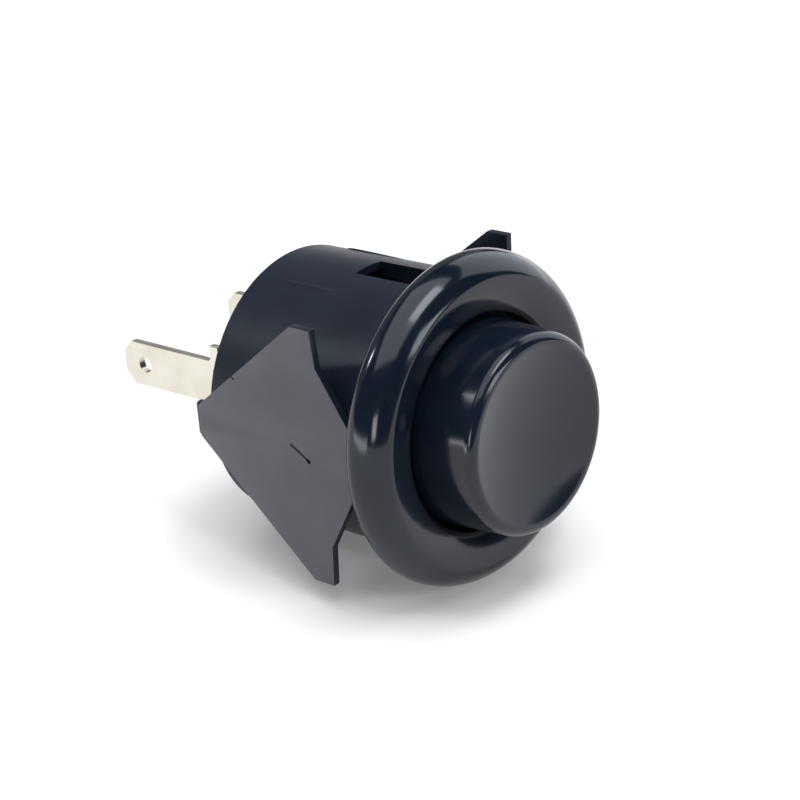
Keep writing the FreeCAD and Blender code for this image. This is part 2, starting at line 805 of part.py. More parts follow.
for thing in doc.Objects:
    if "Invalid" in thing.State or "Error" in thing.State:
        raise RuntimeError(f"{thing.Name} failed: {thing.State}")
for piece in pieces:
    if piece.Shape.isNull() or not piece.Shape.isValid():
        raise RuntimeError(piece.Label + " has no valid shape")

os.makedirs("parts", exist_ok=True)
for piece in pieces:
    piece.Shape.exportStep(f"parts/{piece.Label}.step")
    print(piece.Label, len(piece.Shape.Solids), "solids", round(piece.Shape.Volume, 2), "mm3")
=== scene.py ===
# %% [markdown]
# # A snap-in arcade push button
# The button lies on its side: a polished rim and a dished plunger in front, a satin barrel with two thin
# snap wings behind, and two tinned blades at the rear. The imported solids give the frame. Every shape that
# shows is made again here as a fine, smooth surface in the same place, and everything gets its finish.

# %% The frame
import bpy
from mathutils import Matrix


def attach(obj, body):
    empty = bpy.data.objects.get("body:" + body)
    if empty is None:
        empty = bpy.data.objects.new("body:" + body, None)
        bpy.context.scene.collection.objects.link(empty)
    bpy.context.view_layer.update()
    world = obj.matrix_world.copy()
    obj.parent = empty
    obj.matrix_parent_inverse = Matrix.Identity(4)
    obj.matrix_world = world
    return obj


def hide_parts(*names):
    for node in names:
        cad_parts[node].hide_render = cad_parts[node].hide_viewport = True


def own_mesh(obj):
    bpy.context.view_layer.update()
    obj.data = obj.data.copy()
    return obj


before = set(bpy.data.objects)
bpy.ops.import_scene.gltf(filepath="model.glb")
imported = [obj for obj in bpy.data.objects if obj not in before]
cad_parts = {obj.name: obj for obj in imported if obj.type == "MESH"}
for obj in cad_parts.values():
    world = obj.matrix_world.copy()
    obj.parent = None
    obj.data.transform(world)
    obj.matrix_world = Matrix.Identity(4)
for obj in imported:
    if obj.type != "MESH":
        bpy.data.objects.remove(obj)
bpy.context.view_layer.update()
print("frame:", ", ".join(sorted(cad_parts)))

# %% [markdown]
# Sizes are written in millimetres, because that is how a button is drawn, and one factor turns them into
# Blender's metres. Colours are written as the hex values one would pick from a picture, and one function
# turns them into the linear light that Blender works with.

# %% Units and colours
import math

import bmesh
import bpy
import numpy as np
from mathutils import Matrix

MM = 0.001


def linear(code):
    """sRGB hex to linear light: ((c + 0.055) / 1.055) ** 2.4 above 0.04045, and c / 12.92 below it."""
    c = np.array([int(code[i:i + 2], 16) for i in (1, 3, 5)]) / 255
    light = np.where(c > 0.04045, ((c + 0.055) / 1.055) ** 2.4, c / 12.92)
    return (*light.tolist(), 1.0)


def per_mm(spacing):
    """Texture scale that repeats about once in this many millimetres."""
    return 1.0 / (spacing * MM)


print("one millimetre is", MM, "of Blender's units")

# %% [markdown]
# Every finish here is a moulded or a rolled surface, so all of them are told by the same few facts: two
# close shades that drift into each other in soft patches, a roughness that drifts with them, and a fine
# grain that tilts the surface a little. A picture could be wrapped round each piece instead, but noise in
# the object's own coordinates needs no unwrapping and has no seams. One small function adds a node, and one
# makes a whole finish.

# %% A finish


def node(tree, kind, settings=(), links=()):
    """Add a node. A setting's key is a property, or an input's name or number; a link's key is an input."""
    made = tree.nodes.new(kind)
    for key, value in dict(settings).items():
        if isinstance(key, int) or key in made.inputs:
            made.inputs[key].default_value = value
        else:
            setattr(made, key, value)
    for key, socket in dict(links).items():
        tree.links.new(socket, made.inputs[key])
    return made


def finish(name, shades, patch, rough, grain, depth, stretch=(1, 1, 1), **sockets):
    """A surface finish: two shades in patches, roughness between two values, grain of a size and depth.

    patch, grain and depth are millimetres. stretch divides the grain's frequency along X, Y and Z.
    """
    made = bpy.data.materials.new(name)
    made.use_nodes = True
    tree = made.node_tree
    shader = tree.nodes["Principled BSDF"]
    for key, value in sockets.items():
        shader.inputs[key.replace("_", " ").title().replace("Ior", "IOR")].default_value = value
    place = node(tree, "ShaderNodeTexCoord").outputs["Object"]
    patches = node(tree, "ShaderNodeTexNoise", {"Scale": per_mm(patch), "Detail": 4.0}, {"Vector": place})
    ramp = node(tree, "ShaderNodeValToRGB", links={"Fac": patches.outputs["Fac"]})
    for stop, at, shade in zip(ramp.color_ramp.elements, (0.35, 0.65), shades):
        stop.position = at
        stop.color = linear(shade)
    tree.links.new(ramp.outputs["Color"], shader.inputs["Base Color"])
    wear = node(
        tree, "ShaderNodeMapRange",
        {"From Min": 0.3, "From Max": 0.7, "To Min": rough[0], "To Max": rough[1]},
        {"Value": patches.outputs["Fac"]},
    )
    tree.links.new(wear.outputs["Result"], shader.inputs["Roughness"])
    along = node(tree, "ShaderNodeMapping", {"Scale": [1 / s for s in stretch]}, {"Vector": place})
    fine = node(
        tree, "ShaderNodeTexNoise", {"Scale": per_mm(grain), "Detail": 2.0},
        {"Vector": along.outputs["Vector"]},
    )
    bump = node(
        tree, "ShaderNodeBump", {"Strength": 1.0, "Distance": depth * MM},
        {"Height": fine.outputs["Fac"]},
    )
    tree.links.new(bump.outputs["Normal"], shader.inputs["Normal"])
    return made


print("a finish takes two shades, a patch, two roughnesses and a grain")

# %% [markdown]
# The black pieces are moulded plastic. ABS takes on the surface of its mould, polished or satin, and where
# it is rubbed it turns paler and duller. Solid ABS has an IOR of about 1.54 and nylon of about 1.53. The
# values for ABS start there and are lowered until the black is as deep as on the real button.

# %% Plastics
# Black ABS from a polished mould: deep, bluish and glossy, with a faint orange peel.
polished_abs = finish(
    "polished_black_abs", ("#0d151f", "#121b26"), patch=6.0, rough=(0.1, 0.16),
    grain=1.6, depth=0.004, ior=1.44,
)
# The same ABS from a spark-eroded mould: satin, so it takes the light softly. The real grain is about
# 0.05 mm and would not show, so it is drawn at 0.22 mm.
satin_abs = finish(
    "satin_black_abs", ("#0f1723", "#141d2a"), patch=5.0, rough=(0.38, 0.46),
    grain=0.22, depth=0.004, ior=1.36,
)
# The wings' flat plates are rubbed by the panel and by fingers: duller, with a fine scuff, and paler. Their
# paler shade is partly that wear and partly painted sheen, standing in for the white surroundings they
# mirror.
scuffed_and_sheen_abs = finish(
    "scuffed_black_abs_and_painted_sheen", ("#43444b", "#4b4c53"), patch=7.0, rough=(0.28, 0.36),
    grain=0.22, depth=0.005, ior=1.5,
)
# Black nylon for the switch base: duller than ABS.
black_nylon = finish(
    "moulded_black_nylon", ("#1b1b1d", "#222224"), patch=4.0, rough=(0.45, 0.55),
    grain=0.25, depth=0.006, ior=1.53,
)
print("plastics:", ", ".join(made.name for made in (polished_abs, satin_abs, scuffed_and_sheen_abs, black_nylon)))

# %% [markdown]
# The blades are brass sheet under a coat of tin, and the pieces inside are brass, silver and spring steel.
# All are bare metal, so a shade here is the colour that the metal gives to what it mirrors. Sheet is rolled,
# which leaves fine lines along it, so its grain is drawn out in that direction.

# %% Metals
# Brass sheet with a coat of tin: pale, faintly warm, with fine rolling lines along the blade.
tinned_brass = finish(
    "tinned_brass_sheet", ("#d4cfbf", "#dedacd"), patch=2.5, rough=(0.16, 0.26),
    grain=0.12, depth=0.002, stretch=(1, 12, 1), metallic=1.0,
)
# Bare rolled brass of the contact bridge: yellow, with its rolling lines across the button.
rolled_brass = finish(
    "rolled_brass", ("#b8934f", "#c7a460"), patch=2.0, rough=(0.25, 0.35),
    grain=0.12, depth=0.002, stretch=(12, 1, 1), metallic=1.0,
)
# Silver contact faces: white and bright, a little dulled by tarnish.
contact_silver = finish(
    "contact_silver", ("#c9c7c2", "#dddbd6"), patch=0.8, rough=(0.25, 0.4),
    grain=0.1, depth=0.002, metallic=1.0,
)
# Drawn spring steel for the springs and the washer: a plain mid grey with sharp glints.
spring_steel = finish(
    "drawn_spring_steel", ("#8a8a8c", "#a0a0a2"), patch=1.5, rough=(0.22, 0.32),
    grain=0.1, depth=0.002, metallic=1.0,
)
print("metals:", ", ".join(made.name for made in (tinned_brass, rolled_brass, contact_silver, spring_steel)))

# %% [markdown]
# Almost every piece is one of two things: a half section turned round the button's axis, or a flat outline
# with some thickness. Both start from an outline. Its corners get their rounds all at once, as exact
# circular arcs, each with its own radius. A Bevel modifier would need a weight on every edge for that.

# %% Outlines


def rounded(corners, radii, steps=7):
    """Closed outline with its corners rounded, as one array.

    Each corner's arc is a rational quadratic curve from one tangent point to the other: the corner weighs
    as much as the sine of half its angle, which makes the curve a circle's arc.
    """
    p = np.asarray(corners, float)
    back = np.roll(p, 1, axis=0) - p
    ahead = np.roll(p, -1, axis=0) - p
    back /= np.linalg.norm(back, axis=1, keepdims=True)
    ahead /= np.linalg.norm(ahead, axis=1, keepdims=True)
    half = np.arccos(np.clip((back * ahead).sum(axis=1), -1, 1)) / 2
    reach = (np.asarray(radii, float) / np.tan(half))[:, None, None]
    weight = np.sin(half)[:, None, None]
    t = np.linspace(0, 1, steps)[None, :, None]
    first, middle, last = (1 - t) ** 2, 2 * t * (1 - t) * weight, t ** 2
    start = p[:, None] + back[:, None] * reach
    end = p[:, None] + ahead[:, None] * reach
    arcs = (first * start + middle * p[:, None] + last * end) / (first + middle + last)
    points = arcs.reshape(-1, 2)
    keep = np.linalg.norm(points - np.roll(points, 1, axis=0), axis=1) > 1e-5
    return points[keep]


def arc(centre, radius, start, end, steps):
    """Points on a circle from one angle to another, in degrees."""
    angle = np.radians(np.linspace(start, end, steps))
    return np.asarray(centre) + radius * np.stack([np.cos(angle), np.sin(angle)], axis=1)


print("a square with round corners has", len(rounded([(0, 0), (9, 0), (9, 9), (0, 9)], [1] * 4)), "points")

# %% [markdown]
# A turned piece is a grid of points: one parameter runs along the half section, the other round the axis.
# Blender's Screw modifier does the same, but arrays leave nothing to apply later.

# %% Turned shapes


def grid_faces(rows, columns, wrap_rows=False):
    """Quads of a grid whose columns close on themselves, and whose rows may too."""
    r = np.arange(rows if wrap_rows else rows - 1)[:, None]
    c = np.arange(columns)[None, :]
    after_r, after_c = (r + 1) % rows, (c + 1) % columns
    corners = (r * columns + c, r * columns + after_c, after_r * columns + after_c, after_r * columns + c)
    return np.stack(np.broadcast_arrays(*corners), axis=-1).reshape(-1, 4).tolist()


def turned(section, ring=True, steps=240):
    """A half section of (radius, depth) carried round the axis: (r cos a, depth, r sin a).

    A ring's section closes on itself; any other starts and ends on the axis.
    """
    section = np.asarray(section, float)
    angle = np.linspace(0, math.tau, steps, endpoint=False)
    radius, depth = section[:, :1], section[:, 1:]
    points = np.stack([radius * np.cos(angle), depth + 0 * angle, radius * np.sin(angle)], axis=-1)
    return points.reshape(-1, 3), grid_faces(len(section), steps, wrap_rows=ring)


print("a turned ring of 4 points and 12 steps has", len(grid_faces(4, 12, wrap_rows=True)), "faces")

# %% [markdown]
# A flat piece is a grid as well: one parameter runs along the outline, the other through the thickness, and
# a cap closes it at both ends. Near the ends the outline shrinks a little, which rounds the edges as a mould
# or a punch does, so that they catch the light.

# %% Slabs and blocks


def capped(points):
    """Shell of a grid whose columns close on themselves: its quads, and a cap on its first and last row."""
    rows, columns = points.shape[:2]
    last = (rows - 1) * columns
    caps = [list(range(columns))[::-1], list(range(last, last + columns))]
    return points.reshape(-1, 3), grid_faces(rows, columns) + caps


def slab(outline, low, high, order, edge=0.08):
    """A flat outline carried from low to high, its edges rounded by a quarter circle at both ends.

    Near an end the outline shrinks along its own normals by edge * (1 - sin a) while the level moves by
    edge * (1 - cos a). order says which axis the outline's two numbers and the level belong to.
    """
    ahead = np.roll(outline, -1, axis=0) - np.roll(outline, 1, axis=0)
    normal = np.stack([ahead[:, 1], -ahead[:, 0]], axis=1)
    normal /= np.linalg.norm(normal, axis=1, keepdims=True)
    a = np.linspace(0, math.pi / 2, 4)
    level = np.concatenate([low + edge * (1 - np.cos(a)), high - edge * (1 - np.cos(a[::-1]))])
    shrink = np.concatenate([edge * (1 - np.sin(a)), edge * (1 - np.sin(a[::-1]))])
    flat = outline[None] - normal[None] * shrink[:, None, None]
    lift = np.broadcast_to(level[:, None, None], (*flat.shape[:2], 1))
    points = np.concatenate([flat, lift], axis=2)[..., [order.index(axis) for axis in "xyz"]]
    return capped(points)


def block(x, y, z, edge=0.08):
    """A box from its three spans, with rounded edges."""
    corners = [(x[0], z[0]), (x[1], z[0]), (x[1], z[1]), (x[0], z[1])]
    return slab(rounded(corners, [edge] * 4, steps=4), y[0], y[1], "xzy", edge)


print("a block has", len(block((0, 1), (0, 1), (0, 1))[1]), "faces")

# %% [markdown]
# A shell is closed, so Blender can join shells and cut others out of them, as the mould does. Joining is
# done once, here, and the result is kept as a plain mesh: no modifier is left to run later. A finished
# piece then takes the place of its solid in the frame.

# %% Making a piece


def skin(name, shell):
    """An object from a closed shell in millimetres: poles merged, all faces pointing outwards."""
    points, faces = shell
    mesh = bpy.data.meshes.new(name)
    mesh.from_pydata((points * MM).tolist(), [], faces)
    work = bmesh.new()
    work.from_mesh(mesh)
    bmesh.ops.remove_doubles(work, verts=work.verts, dist=1e-8)
    bmesh.ops.recalc_face_normals(work, faces=work.faces)
    work.to_mesh(mesh)
    work.free()
    piece = bpy.data.objects.new(name, mesh)
    bpy.context.collection.objects.link(piece)
    return piece


def moulded(name, first, joined=(), cut=()):
    """One piece from a first shell, the shells joined to it and the shells cut from it."""
    piece = skin(name, first)
    steps = [("UNION", shell) for shell in joined] + [("DIFFERENCE", shell) for shell in cut]
    tools = [skin(f"{name}_tool_{number}", shell) for number, (_, shell) in enumerate(steps)]
    for (operation, _), tool in zip(steps, tools):
        modifier = piece.modifiers.new(tool.name, "BOOLEAN")
        modifier.operation = operation
        modifier.solver = "MANIFOLD"
        modifier.object = tool
    whole = bpy.data.meshes.new_from_object(piece.evaluated_get(bpy.context.evaluated_depsgraph_get()))
    piece.modifiers.clear()
    piece.data = whole
    whole.name = name
    for tool in tools:
        bpy.data.meshes.remove(tool.data)
    return piece


def dressed(piece, body, node_name, finishes, sharp=32):
    """Shade a piece smooth between its sharp edges, finish it, and put it in its node's place."""
    piece.data.materials.clear()
    for made in finishes:
        piece.data.materials.append(made)
    piece.data.shade_smooth()
    piece.data.set_sharp_from_angle(angle=math.radians(sharp))
    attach(piece, body)
    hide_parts(node_name)
    print(piece.name, len(piece.data.polygons), "faces on", body)


print("shells can now be joined, cut and dressed")

# %% [markdown]
# The housing is one moulding. Its half section holds the domed rim: a side that leaves the widest line
# straight, a tight arc over the crest, and a slope that falls into the mouth. Arcs that meet at a tangent
# are chosen because a corner between them would break the long highlights. Behind the panel the barrel
# tapers a little, so that it leaves its mould.

# %% Housing: rim and barrel
RIM, CREST, HEIGHT, EDGE = 16.9, 14.5, 4.75, 1.5
BARREL, TAPER, REAR, BORE, MOUTH = 14.1, 0.45, 20.4, 12.3, 11.05
CREST_ROUND, SLOPE_DROP, LIP, TAIL_ROUND = 1.4, 0.8, 0.8, 0.35
# The slope stops a few degrees short of the mouth, and small flats break the mouth's and the bore's corners.
SLOPE_STOP, MOUTH_FLAT, BORE_FLAT = 3, 0.12, 0.15


def barrel_at(depth):
    """Outer radius of the tapering barrel."""
    return BARREL - TAPER * depth / REAR


def rim_section():
    """The round of the rim's back edge, the dome's two arcs, which meet without a corner, and the slope.

    The slope's arc starts level at the crest and drops by its own radius times (1 - cos turn).
    """
    wide, rise = RIM - CREST, HEIGHT - EDGE
    side_round = (wide ** 2 + rise ** 2 - 2 * rise * CREST_ROUND) / (2 * (wide - CREST_ROUND))
    side, crest = np.array([RIM - side_round, -EDGE]), np.array([CREST, CREST_ROUND - HEIGHT])
    lean = math.degrees(math.atan2(*(crest - side)[::-1]))
    slope = CREST - MOUTH
    slope_round = (slope ** 2 + SLOPE_DROP ** 2) / (2 * SLOPE_DROP)
    turn = math.degrees(math.asin(slope / slope_round))
    return np.concatenate([
        arc((RIM - EDGE, -EDGE), EDGE, 90, 0, 8),
        arc(side, side_round, 0, lean, 20)[1:],
        arc(crest, CREST_ROUND, lean, -90, 20)[1:],
        arc((CREST, slope_round - HEIGHT), slope_round, -90, -90 - turn + SLOPE_STOP, 18)[1:],
    ])


mouth = [(MOUTH, SLOPE_DROP - HEIGHT + MOUTH_FLAT), (MOUTH, -LIP), (BORE, -LIP), (BORE, REAR - BORE_FLAT)]
rear = [(BORE + BORE_FLAT, REAR), (barrel_at(REAR) - TAIL_ROUND, REAR)]
tail = arc((barrel_at(REAR) - TAIL_ROUND, REAR - TAIL_ROUND), TAIL_ROUND, 90, 0, 7)[1:]
barrel = turned(np.concatenate([rim_section(), mouth, rear, tail, [(BARREL, 0.0)]]))
print("rim", 2 * RIM, "mm across, barrel", 2 * BARREL, "mm")

# %% [markdown]
# Each wing is a thin plate, creased along its middle into a very shallow V, that leaves the barrel at a
# tangent. Seen from the side its outline is a kite with stepped, sloping front edges, and those edges are
# what grips the panel. Every height z has one front and one rear edge, so the plate is a stack of thin
# rounded strips: one parameter runs round a strip, the other up the wing.

# %% Housing: the snap wings
SPAN, THICK, SPREAD, PROUD, WING_EDGE = 13.4, 0.8, math.radians(4.7), 0.1, 0.09
# Heights where the sloping front edge starts and ends, and its depths there.
STEP_LOW, STEP_HIGH, FRONT_LOW, FRONT_HIGH = 2.6, 9.4, 0.3, 4.0
# Half the width of the heel, and the rear edge's depths there and at the wing's tips.
HEEL_HALF, WING_END, TIP_END = 1.65, 21.7, 6.55


def wing(side):
    """Strip at height z: depth runs from front(z) to rear(z).

    The outer face lies at x = barrel(depth) + proud + |z| tan(spread), and the inner face one thickness
    inside it.
    """
    a = np.linspace(0, math.pi / 2, 4)
    end_z, end_shrink = SPAN - WING_EDGE + WING_EDGE * np.sin(a), WING_EDGE * (1 - np.cos(a))
    heights = np.array([HEEL_HALF, STEP_LOW, (STEP_LOW + STEP_HIGH) / 2, STEP_HIGH])
    inner = np.concatenate([-heights[::-1], [0.0], heights])
    z = np.concatenate([-end_z[::-1], inner, end_z])
    shrink = np.concatenate([end_shrink[::-1], 0 * inner, end_shrink])[:, None]
    tall = np.abs(z)[:, None]
    steps = [0, STEP_LOW, STEP_HIGH, SPAN]
    front = np.interp(tall, steps, [FRONT_LOW, FRONT_LOW, FRONT_HIGH, FRONT_HIGH]) + shrink
    back = np.interp(tall, [0, HEEL_HALF, SPAN], [WING_END, WING_END, TIP_END]) - shrink
    through = THICK / math.cos(SPREAD)
    turn = np.concatenate([np.linspace(90 * i, 90 * i + 90, 4) for i in range(4)])[None]
    cos, sin = np.cos(np.radians(turn)), np.sin(np.radians(turn))
    least_round = 0.005
    corner = np.maximum(WING_EDGE - shrink, least_round)
    at_rear = np.repeat([1, 0, 0, 1], 4)[None]
    at_inside = np.repeat([1, 1, 0, 0], 4)[None]
    depth = np.where(at_rear, back - corner, front + corner) + corner * cos
    sunk = np.where(at_inside, through - shrink - corner, shrink + corner) + corner * sin
    x = barrel_at(depth) + PROUD + tall * math.tan(SPREAD) - sunk
    points = np.stack([side * x, depth, np.broadcast_to(z[:, None], x.shape)], axis=-1)
    return capped(points)


wings = [wing(1), wing(-1)]
print("wings reach", round(2 * SPAN, 1), "mm up and down")

# %% [markdown]
# A rounded heel ties the rear end of each wing to the barrel, and four thin ribs run along the barrel as
# faint raised lines. A heel is a slab. A rib swells out of the barrel and sinks back, so it is an ellipse
# carried along the barrel while its size changes.

# %% Housing: heels and ribs
HEEL_ROOT, HEEL_OUT, HEEL_END, HEEL_SUNK = REAR - 0.7, 13.76, 22.6, BORE + 0.1
RIB_FRONT, RIB_MIDDLE, RIB_HALF = 8.4, 12.7, 4.3
RIB_WIDE, RIB_TALL, RIB_PROUD, RIB_SINK = 0.35, 0.55, 0.03, 0.3


def heel(side):
    """The heel's outline from above, carried across the wing's middle and turned over for the other side."""
    corners = np.array([
        (HEEL_SUNK, HEEL_ROOT), (barrel_at(HEEL_ROOT), HEEL_ROOT),
        (HEEL_OUT, HEEL_END), (HEEL_SUNK, HEEL_END),
    ])
    outline = rounded(corners * (side, 1), [0.1, 0.1, 1.0, 0.3])
    return slab(outline[::side], -HEEL_HALF, HEEL_HALF, "xyz", 0.15)


def rib(angle):
    """Ellipse (wide cos a, tall sin a) times swell = sin(t) ** 0.25, at depth = middle - half cos t.

    Where the swell fades at both ends, the ellipse also sinks into the barrel.
    """
    t = np.linspace(0, math.pi, 17)[:, None]
    a = np.linspace(0, math.tau, 24, endpoint=False)[None]
    swell = np.round(np.sin(t), 9) ** 0.25
    depth = RIB_MIDDLE - RIB_HALF * np.cos(t) + 0 * a
    across = RIB_WIDE * swell * np.cos(a)
    crown = barrel_at(RIB_FRONT) + RIB_PROUD * swell
    out = crown + RIB_TALL * (np.sin(a) - 1) * swell - RIB_SINK * (1 - swell)
    c, s = math.cos(math.radians(angle)), math.sin(math.radians(angle))
    points = np.stack([out * s + across * c, depth, out * c - across * s], axis=-1)
    return points.reshape(-1, 3), grid_faces(*across.shape)


heels = [heel(1), heel(-1)]
ribs = [rib(angle) for angle in (21, -21, 159, 201)]
print(len(heels), "heels and", len(ribs), "ribs")

# %% [markdown]
# The near wing has two small marks: the scar of the mould's gate near its middle, which ends in a dent, and
# a tiny nick higher up, near the rear edge. They could be painted, but a cut of about a tenth of a
# millimetre takes light and shade by itself.

# %% Housing: marks on the near wing
OUTSIDE, CRISP = -16.0, 0.01


def nick(start, end, radii, floor):
    """Two unlike half circles joined into an outline in (depth, height), sunk from outside to x = floor."""
    turn = math.degrees(math.atan2(end[1] - start[1], end[0] - start[0]))
    outline = np.concatenate([
        arc(start, radii[0], turn + 90, turn + 270, 12), arc(end, radii[1], turn - 90, turn + 90, 12),
    ])
    return slab(outline, OUTSIDE, floor, "yzx", CRISP)


nicks = [
    nick((9.1, 0.12), (7.9, -0.5), (0.18, 0.14), -13.97),
    nick((8.0, -0.46), (6.95, -1.05), (0.11, 0.09), -13.98),
    nick((6.95, -1.05), (6.75, -1.16), (0.17, 0.22), -13.95),
    nick((16.2, 6.0), (15.8, 5.8), (0.08, 0.12), -14.22),
]
print(len(nicks), "cuts make the two marks")

# %% [markdown]
# Two slots through the barrel guide the plunger's keys, and a shallow way inside lets the keys in from the
# rear. The rim is polished, the rest and the wall of the mouth are satin, as the mould was finished, and
# the wings' outer faces are scuffed, with a paler shade that is partly wear and partly painted sheen. Each
# face is told by where it lies, so no face is picked by hand.

# %% Housing: whole
SLOT_HALF, SLOT_FRONT, SLOT_END, SLOT_EDGE = 1.9, 0.9, 9.8, 0.05
THROUGH_WALL, WAY_OUT, WAY_END = (11.5, 15.5), 13.05, 21.4
# What tells a face: its depth behind the rim, margins at the mouth and the plate, and how it faces out.
BEHIND, MOUTH_MARGIN, PLATE_MARGIN, FACING_OUT = 0.2, 0.1, 0.03, 0.9


def above_and_below(half, y, z, edge):
    """Two blocks that mirror each other above and below the axis."""
    return [block((-half, half), y, sorted((side * z[0], side * z[1])), edge) for side in (1, -1)]


slots = above_and_below(SLOT_HALF, (SLOT_FRONT, SLOT_END), THROUGH_WALL, SLOT_EDGE)
ways = above_and_below(SLOT_HALF, (SLOT_FRONT, WAY_END), (MOUTH, WAY_OUT), SLOT_EDGE)
housing = moulded("housing_moulding", barrel, wings + heels + ribs, slots + ways + nicks)
dressed(housing, "housing_body", "housing", [polished_abs, satin_abs, scuffed_and_sheen_abs])
facts = {}
for fact in ("center", "normal"):
    facts[fact] = np.empty(3 * len(housing.data.polygons))
    housing.data.polygons.foreach_get(fact, facts[fact])
x, y, z = facts["center"].reshape(-1, 3).T / MM
outward = facts["normal"].reshape(-1, 3)[:, 0] * np.sign(x)
satin = (y > BEHIND) | (np.hypot(x, z) < MOUTH + MOUTH_MARGIN)
plate = barrel_at(y) + PROUD + np.abs(z) * math.tan(SPREAD)
# The wing plates' outward faces take the scuffed finish, whose paler shade is partly painted sheen.
on_wing = satin & (outward > FACING_OUT) & (np.abs(np.abs(x) - plate) < PLATE_MARGIN)
housing.data.polygons.foreach_set("material_index", satin.astype(np.int32) + on_wing)
print("satin or scuffed faces:", int(satin.sum()), "of which scuffed:", int(on_wing.sum()))

# %% [markdown]
# The plunger is a cap with a dished face. The dish is part of a large sphere that runs into the rounded
# edge without a corner, so a finger finds the middle and light slides over the edge in one streak. The
# whole cap, its skirt and its stem are one half section, and only the two guide keys are joined to it.

# %% Plunger
CAP, DRAFT, TOP, CAP_ROUND, DISH = 10.15, 0.45, 10.6, 1.0, 1.2
SKIRT, SKIRT_IN, SKIRT_FRONT, SKIRT_END = 12.1, 10.7, -0.75, 14.7
HOLLOW, HOLLOW_FRONT, HOLLOW_END = 8.65, -7.6, 0.65
STEM, STEM_END, PIN, PIN_END = 3.4, 6.0, 1.6, 13.6
KEY_HALF, KEY_FRONT, KEY_END, KEY_ROOT, KEY_OUT = 1.7, 0.95, 3.95, 11.4, 12.85


def cap_section():
    """Dish arc from the axis, then the edge's arc, whose centres lie on one line with the joint."""
    edge = np.array([CAP - CAP_ROUND, CAP_ROUND - TOP])
    reach = (edge[0] ** 2 + DISH ** 2) / (2 * DISH)
    ball = np.array([0.0, DISH - TOP - (reach - CAP_ROUND)])
    lean = math.degrees(math.atan2(*(edge - ball)[::-1]))
    return np.concatenate([
        arc(ball, reach - CAP_ROUND, 90, lean, 40),
        arc(edge, CAP_ROUND, lean - 180, 0, 36)[1:],
    ])


skirt = [
    (CAP + DRAFT, SKIRT_FRONT), (SKIRT, SKIRT_FRONT), (SKIRT, SKIRT_END), (SKIRT_IN, SKIRT_END),
    (SKIRT_IN, HOLLOW_END),
]
hollow = [(HOLLOW, HOLLOW_END), (HOLLOW, HOLLOW_FRONT)]
stem = [(STEM, HOLLOW_FRONT), (STEM, STEM_END), (PIN, STEM_END), (PIN, PIN_END), (0.0, PIN_END)]
cap = turned(np.concatenate([cap_section(), skirt, hollow, stem]), ring=False)
keys = above_and_below(KEY_HALF, (KEY_FRONT, KEY_END), (KEY_ROOT, KEY_OUT), SLOT_EDGE)
plunger = moulded("plunger_cap", cap, keys)
dressed(plunger, "plunger_body", "plunger", [polished_abs])

# %% [markdown]
# The base is a disc that snaps into the barrel and carries a block for the two terminals. Only its rear
# shows. The well for the return spring, the slots for the terminals and the reliefs for their bends are
# cut out of it, as the mould's cores would leave them.

# %% Base
DISC, DISC_FRONT, BEAD, BOSS, BASE_END = 12.2, 18.4, 12.6, 5.4, 24.0
DECK_X, DECK_Z, DECK_FRONT, DECK_ROUND = 9.2, 3.9, 15.62, 1.2
LUG_ROOT, LUG_EDGE, WELL, SPRING_SEAT = 4.6, 0.08, 4.2, 22.4
SHEET_IN, SHEET_OUT, STRIP_HALF, SLIT_EDGE = 7.34, 8.14, 2.0, 0.02
RELIEF_IN, RELIEF_OUT, RELIEF_END = 6.94, 7.5, 16.02
# A cut starts ahead of the deck and may end beyond the base, so that it goes right through.
AHEAD, BEYOND = 15.0, 25.0


def left_and_right(x, y, half, edge):
    """Two blocks that mirror each other at the left and at the right of the axis."""
    return [block(sorted((side * x[0], side * x[1])), y, (-half, half), edge) for side in (1, -1)]


disc = turned([
    (0.0, DISC_FRONT), (DISC, DISC_FRONT), (DISC, 18.9), (BEAD, 19.3), (DISC, 19.7), (DISC, 20.3),
    (12.1, REAR), (BOSS, REAR), (BOSS, 23.85), (5.25, BASE_END), (0.0, BASE_END),
], ring=False)
deck_corners = [(-DECK_X, -DECK_Z), (DECK_X, -DECK_Z), (DECK_X, DECK_Z), (-DECK_X, DECK_Z)]
deck = slab(rounded(deck_corners, [DECK_ROUND] * 4, steps=10), DECK_FRONT, BASE_END, "xzy", 0.15)
lugs = above_and_below(KEY_HALF, (DISC_FRONT, REAR), (LUG_ROOT, KEY_OUT), LUG_EDGE)
well = turned([(0.0, AHEAD), (WELL, AHEAD), (WELL, SPRING_SEAT), (0.0, SPRING_SEAT)], ring=False, steps=96)
slits = left_and_right((SHEET_IN, SHEET_OUT), (AHEAD, BEYOND), STRIP_HALF, SLIT_EDGE)
reliefs = left_and_right((RELIEF_IN, RELIEF_OUT), (AHEAD, RELIEF_END), STRIP_HALF, SLIT_EDGE)
base = moulded("switch_base", disc, [deck] + lugs, [well] + slits + reliefs)
dressed(base, "housing_body", "base", [black_nylon])

# %% [markdown]
# The terminals are stamped from sheet: a bent strip inside, shoulders that stop it at the base, and a
# push-on blade with cut corners and a hole. A punch leaves slightly rounded edges, and they catch light. The
# blade and the bent strip are two slabs across each other, which is simpler than bending one.

# %% Terminals
BLADE_HALF, SEAT_HALF, BLADE_MIDDLE = 2.375, 4.0, 1.3
SHOULDER, CUT_START, TIP, CUT = 25.2, 36.5, 37.7, 1.2
FOOT_FRONT, FOOT_REAR, FOOT_END = 14.82, 15.62, 4.8
HOLE_AT, HOLE, RIVET_AT, RIVET, EYE_START, EYE_END = 34.8, 0.85, 6.3, 0.6, 14.0, 16.0


